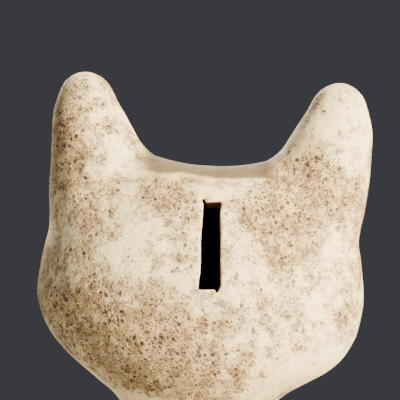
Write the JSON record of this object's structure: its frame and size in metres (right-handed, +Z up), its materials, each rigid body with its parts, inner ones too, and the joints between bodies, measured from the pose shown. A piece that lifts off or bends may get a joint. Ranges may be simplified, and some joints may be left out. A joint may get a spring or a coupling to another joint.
{
  "type": "cat coin bank",
  "caption": "Hollow ceramic cat coin bank, seated, with a coin slot in the back of the head and a rubber stopper in the base.",
  "frame": {"origin": "middle of the outline on the table, at the height of the table", "axes": "+Z up, -Y towards the cat's face, +X towards the cat's left side"},
  "size_m": [0.126, 0.1186, 0.29],
  "materials": {
    "stoneware": "matte",
    "rubber": "matte",
    "felt": "matte"
  },
  "bodies": {
    "figurine": {"head_shell": "stoneware", "belly_shell": "stoneware", "chest_shell": "stoneware", "base_slab": "stoneware", "left_foreleg": "stoneware", "right_foreleg": "stoneware", "left_haunch": "stoneware", "right_haunch": "stoneware", "left_front_paw": "stoneware", "right_front_paw": "stoneware", "left_hind_paw": "stoneware", "right_hind_paw": "stoneware", "left_eye": "stoneware", "right_eye": "stoneware", "nose": "stoneware", "tail": "stoneware", "left_front_pad": "felt", "right_front_pad": "felt", "left_back_pad": "felt", "right_back_pad": "felt"},
    "stopper": {"stopper": "rubber"}
  },
  "joints": [
    {"name": "stopper_pull", "type": "slide", "parent": "figurine", "child": "stopper", "axis": [0, 0, -1], "range_m": [0, 0.03]}
  ]
}
